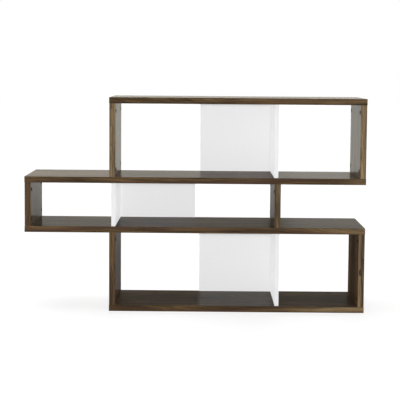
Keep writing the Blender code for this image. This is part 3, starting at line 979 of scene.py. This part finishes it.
def dowel_bore(dowel, axis, low, high, settings):
    """A cutter for a loose dowel that lies along an axis, in the piece between two corners."""
    joinery = settings.joinery
    dowel_low, dowel_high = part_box(dowel)
    across = (axis + 2) % 3  # Z where the dowel lies along X, and Y where it stands
    radius = (dowel_high[across] - dowel_low[across]) / 2 + joinery.fit_gap
    start, end = middle_of(dowel), middle_of(dowel)
    start[axis] = dowel_low[axis] - joinery.bore_end
    end[axis] = dowel_high[axis] + joinery.bore_end
    if start[axis] < low[axis]:
        start[axis] = low[axis] - CUTTER_OVERRUN
    if end[axis] > high[axis]:
        end[axis] = high[axis] + CUTTER_OVERRUN
    return dressed(rod("bore", start, end, radius), core_finish(settings.finish))


def panel_dowels(level):
    """The two dowels between a divider and its back panel, with their axis."""
    return [(f"{level}_panel_{height}_dowel", X) for height in ("low", "high")]


def screen(name, dowels, settings):
    """A white board with rounded upright edges, bored for loose dowels that are given with their axes."""
    low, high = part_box(name)
    board = block("white_" + name, low, high)
    round_edges(board, runs_along(Z), settings.joinery)
    dressed(board, lacquer_finish(settings.finish))
    combine(board, [dowel_bore(dowel, axis, low, high, settings) for dowel, axis in dowels])
    finished(board, [name])


class SHELVING_OT_dividers(bpy.types.Operator):
    """Make the three white dividers, bored for their dowels"""

    bl_idname = "shelving.dividers"
    bl_label = "Dividers"

    def execute(self, context):
        for level in LEVELS:
            name = f"{level}_divider"
            dowels = [(f"{name}_{end}_{row}_dowel", Z) for end in ENDS for row in ROWS]
            screen(name, dowels + panel_dowels(level), context.scene)
        return {"FINISHED"}


class SHELVING_OT_back_panels(bpy.types.Operator):
    """Make the three white back panels, bored for the dowels of their dividers"""

    bl_idname = "shelving.back_panels"
    bl_label = "Back panels"

    def execute(self, context):
        for level in LEVELS:
            screen(f"{level}_back_panel", panel_dowels(level), context.scene)
        return {"FINISHED"}


class SHELVING_OT_cam_fittings(bpy.types.Operator):
    """Make a cam with its bolt once and set a copy in every joint"""

    bl_idname = "shelving.cam_fittings"
    bl_label = "Cam fittings"

    def execute(self, context):
        pattern = self.pattern(context.scene)
        turns = {
            ("left", "top"): (0, 0, 0),
            ("left", "bottom"): (math.pi, 0, 0),
            ("right", "top"): (0, 0, math.pi),
            ("right", "bottom"): (0, math.pi, 0),
        }
        for level in LEVELS:
            for (side, end), turn in turns.items():
                for row in ROWS:
                    node = fitting_node(level, side, end, row)
                    copy = pattern.copy()
                    copy.data = pattern.data.copy()
                    context.collection.objects.link(copy)
                    put_in_place(copy, "bronzed_" + node, fitting_axes(level, side, end, row), turn)
                    finished(copy, [node])
        bpy.data.objects.remove(pattern, do_unlink=True)
        return {"FINISHED"}

    def pattern(self, settings):
        """The cam along +X and its bolt along +Z, about the point where their axes cross."""
        spot = fitting_axes("upper", "left", "top", "front")
        low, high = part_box(fitting_node("upper", "left", "top", "front"))
        low, high = low - spot, high - spot
        board_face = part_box("top_board")[0].z - spot.z
        cam = self.cam(settings, low.x, high.x, high.y)
        bolt = self.bolt(settings, board_face, high.z)
        combine(cam, [bolt], "UNION")
        return cam

    def cam(self, settings, bottom, top, rim_radius):
        """The cam, with its rounded rim, the driver's cross and an arrow mark."""
        fitting = settings.fitting
        bronze = bronze_finish(settings.finish)
        rim_foot = top - fitting.rim_thickness
        rounding = fitting.rim_rounding
        profile = (
            (bottom, fitting.cam_radius - rounding),
            (bottom + rounding, fitting.cam_radius),
            (rim_foot, fitting.cam_radius),
            (rim_foot, rim_radius),
            (top - rounding, rim_radius),
            (top - RIM_BEND * rounding, rim_radius - RIM_BEND * rounding),
            (top, rim_radius - rounding),
        )
        cam = put_in_place(turned("cam", profile, CAM_SIDES), "cam", turn=(0, math.pi / 2, 0))
        dressed(cam, bronze)
        recess_floor = top - fitting.recess_depth
        length, width = fitting.recess_length / 2, fitting.recess_width / 2
        for across, up in ((length, width), (width, length)):
            arm = block("recess", (recess_floor, -across, -up), (top + CUTTER_OVERRUN, across, up))
            combine(cam, [dressed(arm, bronze)])
        mark_height = (fitting.recess_length / 2 + rim_radius) / 2
        mark_floor = (top - fitting.mark_depth, 0, mark_height)
        mark_mouth = (top + CUTTER_OVERRUN, 0, mark_height)
        mark = rod("mark", mark_floor, mark_mouth, fitting.mark_radius, ARROW_SIDES)
        combine(cam, [dressed(mark, bronze)])
        return cam

    def bolt(self, settings, board_face, tip):
        """The bolt, from its neck in the cam to the tip of its thread in the board."""
        fitting = settings.fitting
        shoulder = board_face - settings.joinery.fit_gap
        shank_foot = fitting.cam_radius + fitting.shank_play
        root = fitting.thread_radius - fitting.thread_depth
        profile = [
            (fitting.cam_radius / 2, fitting.neck_radius),
            (shank_foot, fitting.neck_radius),
            (shank_foot, fitting.shank_radius),
            (shoulder, fitting.shank_radius),
            (shoulder, root),
        ]
        pitch = (tip - shoulder) / (fitting.thread_turns + 1)
        for turn in range(fitting.thread_turns):
            foot = shoulder + turn * pitch
            profile += [(foot + pitch / 2, fitting.thread_radius), (foot + pitch, root)]
        profile.append((tip, root / TIP_TAPER))
        return dressed(turned("bolt", profile, BOLT_SIDES), zinc_finish(settings.finish))


class SHELVING_OT_dowels(bpy.types.Operator):
    """Finish the loose dowels of the screens in raw beech"""

    bl_idname = "shelving.dowels"
    bl_label = "Dowels"

    def execute(self, context):
        beech = beech_finish(context.scene.finish)
        for name, node in frame["nodes"].items():
            if name.endswith("_dowel"):
                node.data.materials.clear()
                dressed(node, beech)
        return {"FINISHED"}


class SHELVING_OT_studio(bpy.types.Operator):
    """Set the floor, the backdrop, the soft lamps and the camera"""

    bl_idname = "shelving.studio"
    bl_label = "Studio"

    def execute(self, context):
        studio = context.scene.studio
        context.scene.view_settings.view_transform = "Standard"
        self.floor(studio)
        self.backdrop(context.scene, studio)
        self.front_softbox(studio)
        for name, (setting, elevation, azimuth) in FAR_SOFTBOXES.items():
            self.far_softbox(name, getattr(studio, setting), elevation, azimuth)
        for name, (setting, azimuth, endings) in SCREEN_LAMPS.items():
            self.screen_lamp(name, getattr(studio, setting), azimuth, endings)
        self.camera(context.scene, studio)
        return {"FINISHED"}

    def rays(self, tree, studio):
        """The kinds of ray, whether one comes by gloss or glass, and the colour that it finds."""
        seen = put(tree, "ShaderNodeLightPath").outputs
        through = maths("MAXIMUM", seen["Is Glossy Ray"], seen["Is Transmission Ray"])
        return seen, through, blend(through, tinted(WHITE), tinted(studio.gloss_tint))

    def floor(self, studio):
        """A pale floor, whose shadow shows faintly on a white ground."""
        bpy.ops.object.select_all(action="DESELECT")
        bpy.ops.mesh.primitive_plane_add(size=FLOOR_SIZE)
        floor = put_in_place(bpy.context.object, "studio_floor")
        material, tree, shader = new_material("pale_floor")
        seen, through, colour = self.rays(tree, studio)
        place = put(tree, "ShaderNodeTexCoord").outputs["Object"]
        behind = spread(parts_of(place)["Y"], GLOW_START, GLOW_FULL)
        lit = maths("MULTIPLY", behind, studio.lit_floor_level)
        glow = maths("MULTIPLY", seen["Is Camera Ray"], studio.floor_glow)
        feed(shader, {
            "Base Color": tinted(studio.floor),
            "Roughness": 1.0,
            "Specular IOR Level": 0.0,
            "Emission Strength": maths("MULTIPLY_ADD", through, lit, glow),
            "Emission Color": colour,
        })
        dressed(floor, material)

    def backdrop(self, scene, studio):
        """White to the camera, and to gloss a lit backdrop low behind the unit in a dim room.

        The backdrop is lit from its two sides, which leaves its middle dimmer higher up.
        """
        scene.world = bpy.data.worlds.new("studio_backdrop")
        scene.world.use_nodes = True
        tree = scene.world.node_tree
        seen, through, colour = self.rays(tree, studio)
        axes = parts_of(put(tree, "ShaderNodeTexCoord").outputs["Generated"])
        low = spread(axes["Z"], *(math.sin(math.radians(angle)) for angle in BACKDROP_RISE))
        lit = maths("MULTIPLY", low, spread(axes["Y"], *BACKDROP_SIDES))
        middle = spread(maths("ABSOLUTE", axes["X"]), *MIDDLE_WIDTH)
        high = spread(axes["Z"], *(math.sin(math.radians(angle)) for angle in MIDDLE_RISE))
        dim = maths("MULTIPLY", maths("MULTIPLY", middle, high), -MIDDLE_DIM)
        lit = maths("MULTIPLY_ADD", lit, dim, lit)
        above_room = studio.backdrop_level - studio.room_level
        band = maths("MULTIPLY_ADD", lit, above_room, studio.room_level)
        gloss = maths("MULTIPLY", through, band)
        diffuse = maths("MULTIPLY", seen["Is Diffuse Ray"], studio.ambient_level)
        strength = maths("ADD", maths("ADD", gloss, diffuse), seen["Is Camera Ray"])
        feed(tree.nodes["Background"], {"Strength": strength, "Color": colour})

    def front_softbox(self, studio):
        """A low wide softbox round the camera, which hides the shadows that it throws.

        Its light doesn't fall off with distance, so the unit is as bright at its back as at its front.
        Without that falloff, a power of pi squared shows a white that faces it as 1.
        """
        place = Vector(studio.camera_place)
        aim = (CAD_BOX[0] + CAD_BOX[1]) / 2 - place
        lamp = bpy.data.lights.new("front_softbox", "AREA")
        lamp.shape = "RECTANGLE"
        lamp.size, lamp.size_y = FRONT_SOFTBOX_SIZE
        lamp.energy = studio.front_level * math.pi ** 2
        lamp.use_nodes = True
        tree = lamp.node_tree
        falloff = put(tree, "ShaderNodeLightFalloff", {"Strength": 1.0}).outputs["Constant"]
        feed(tree.nodes["Emission"], {"Strength": falloff})
        self.add_lamp(lamp, place, aim.to_track_quat("-Z", "Y").to_euler())

    def far_softbox(self, name, level, elevation, azimuth):
        """A broad lamp far away: azimuth 0 is in front, 90 to the right and 180 behind."""
        lamp = bpy.data.lights.new(name, "SUN")
        lamp.energy = level * math.pi
        lamp.angle = FAR_SOFTBOX_WIDTH
        return self.add_lamp(lamp, (0, 0, 0), (math.radians(90 - elevation), 0, math.radians(azimuth)))

    def screen_lamp(self, name, level, azimuth, endings):
        """A lamp for white pieces alone, whose light throws no shadow and isn't passed on by them."""
        lamp = self.far_softbox(name, level, SCREEN_LAMP_ELEVATION, azimuth)
        lit = bpy.data.collections.new(name + "_pieces")
        for obj in bpy.context.scene.objects:
            if obj.name.startswith("white_") and obj.name.endswith(endings):
                lit.objects.link(obj)
        lamp.light_linking.receiver_collection = lit
        lamp.data.use_shadow = False
        lamp.data.cycles.max_bounces = 0

    def placed(self, data, place, turn):
        """Puts a lamp or the camera in the scene."""
        obj = bpy.data.objects.new(data.name, data)
        obj.location = place
        obj.rotation_euler = turn
        bpy.context.scene.collection.objects.link(obj)
        return obj

    def add_lamp(self, lamp, place, turn):
        """The lamps give no glare: what gloss shows is the backdrop."""
        obj = self.placed(lamp, place, turn)
        obj.visible_glossy = False
        return obj

    def camera(self, scene, studio):
        """The camera, at the photograph's viewing angle."""
        data = bpy.data.cameras.new("camera")
        data.lens = studio.lens
        data.sensor_width = SENSOR_WIDTH
        data.shift_y = studio.shift
        data.clip_end = VIEW_DISTANCE
        scene.camera = self.placed(data, studio.camera_place, studio.camera_turn)


STEPS = (
    SHELVING_OT_boards,
    SHELVING_OT_uprights,
    SHELVING_OT_dividers,
    SHELVING_OT_back_panels,
    SHELVING_OT_cam_fittings,
    SHELVING_OT_dowels,
    SHELVING_OT_studio,
)
SETTINGS = {
    "joinery": JoinerySettings,
    "fitting": FittingSettings,
    "finish": FinishSettings,
    "studio": StudioSettings,
}


class SHELVING_PT_unit(bpy.types.Panel):
    """The unit's sizes and finishes, and the steps that make it"""

    bl_label = "Staggered shelving unit"
    bl_space_type = "VIEW_3D"
    bl_region_type = "UI"
    bl_category = "Shelving"

    def draw(self, context):
        for step in STEPS:
            self.layout.operator(step.bl_idname)
        for group, kind in SETTINGS.items():
            box = self.layout.box()
            box.label(text=group.capitalize())
            for name in kind.__annotations__:
                box.prop(getattr(context.scene, group), name)


CLASSES = (*SETTINGS.values(), *STEPS, SHELVING_PT_unit)


def register():
    for kind in CLASSES:
        bpy.utils.register_class(kind)
    for group, kind in SETTINGS.items():
        setattr(bpy.types.Scene, group, PointerProperty(type=kind))


def unregister():
    for group in SETTINGS:
        delattr(bpy.types.Scene, group)
    for kind in reversed(CLASSES):
        bpy.utils.unregister_class(kind)


def main():
    register()
    bpy.ops.shelving.boards()
    bpy.ops.shelving.uprights()
    bpy.ops.shelving.dividers()
    bpy.ops.shelving.back_panels()
    bpy.ops.shelving.cam_fittings()
    bpy.ops.shelving.dowels()
    bpy.ops.shelving.studio()


if __name__ == "__main__":
    main()
